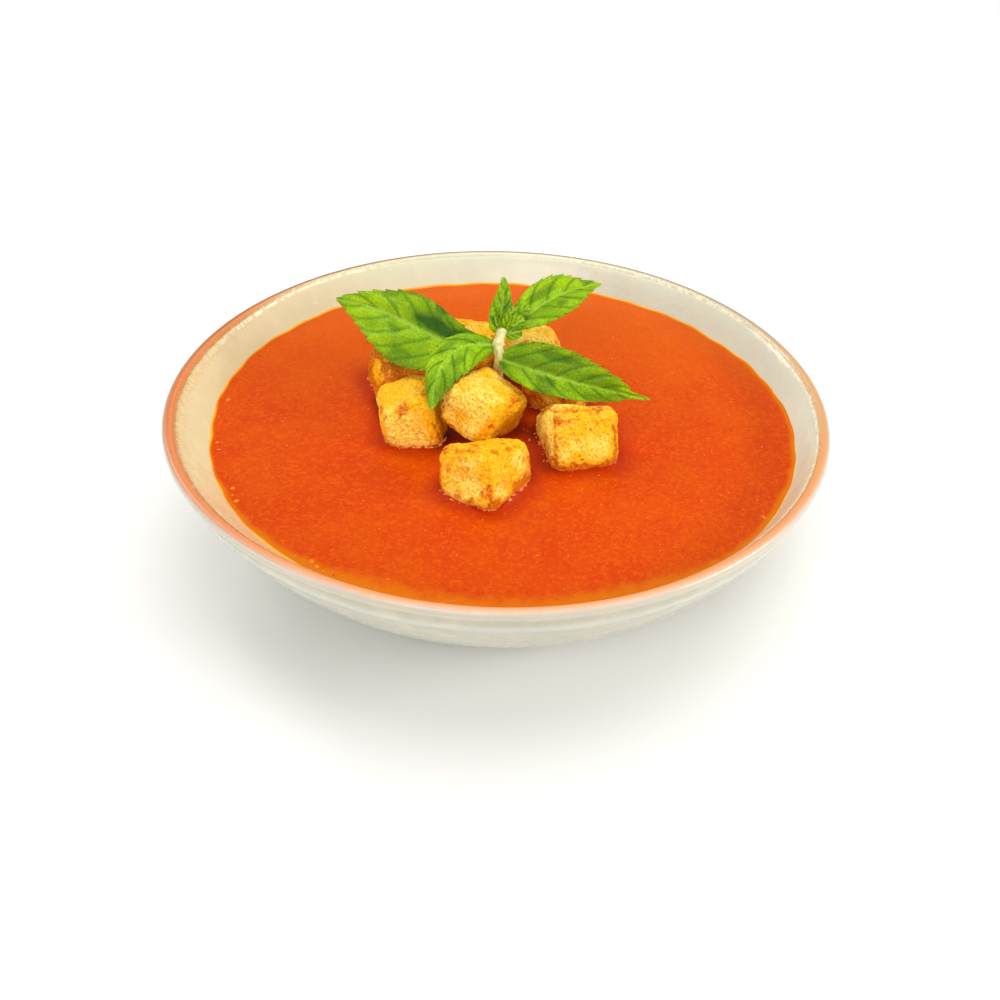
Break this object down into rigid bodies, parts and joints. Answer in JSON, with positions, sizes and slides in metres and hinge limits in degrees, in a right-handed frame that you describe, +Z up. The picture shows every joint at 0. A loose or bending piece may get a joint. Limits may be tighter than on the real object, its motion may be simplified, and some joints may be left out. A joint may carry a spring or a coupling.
{
  "type": "bowl of tomato soup",
  "caption": "Wide shallow stoneware bowl with a terracotta-edged lip, filled with orange-red tomato soup and topped with toasted bread croutons and a leafy mint sprig.",
  "frame": {"origin": "middle of the foot ring, on the surface the bowl stands on", "axes": "+Z up, +X to the diner's right, +Y away from the diner"},
  "size_m": [0.2, 0.2, 0.0763],
  "materials": {
    "bowl": "cream glaze with a feathered terracotta band at the lip",
    "soup": "smooth wet orange-red soup",
    "crouton": "fried golden bread crumb with browned edges",
    "mint": "fresh green leaf, slightly glossy, with sunken veins"
  },
  "bodies": {
    "root": {"bowl": "bowl", "soup": "soup", "crouton_front": "crouton", "crouton_right": "crouton", "crouton_left": "crouton", "crouton_centre": "crouton", "crouton_back_left": "crouton", "crouton_back": "crouton", "crouton_back_right": "crouton", "crouton_right_back": "crouton", "mint_sprig": "mint"}
  },
  "joints": []
}
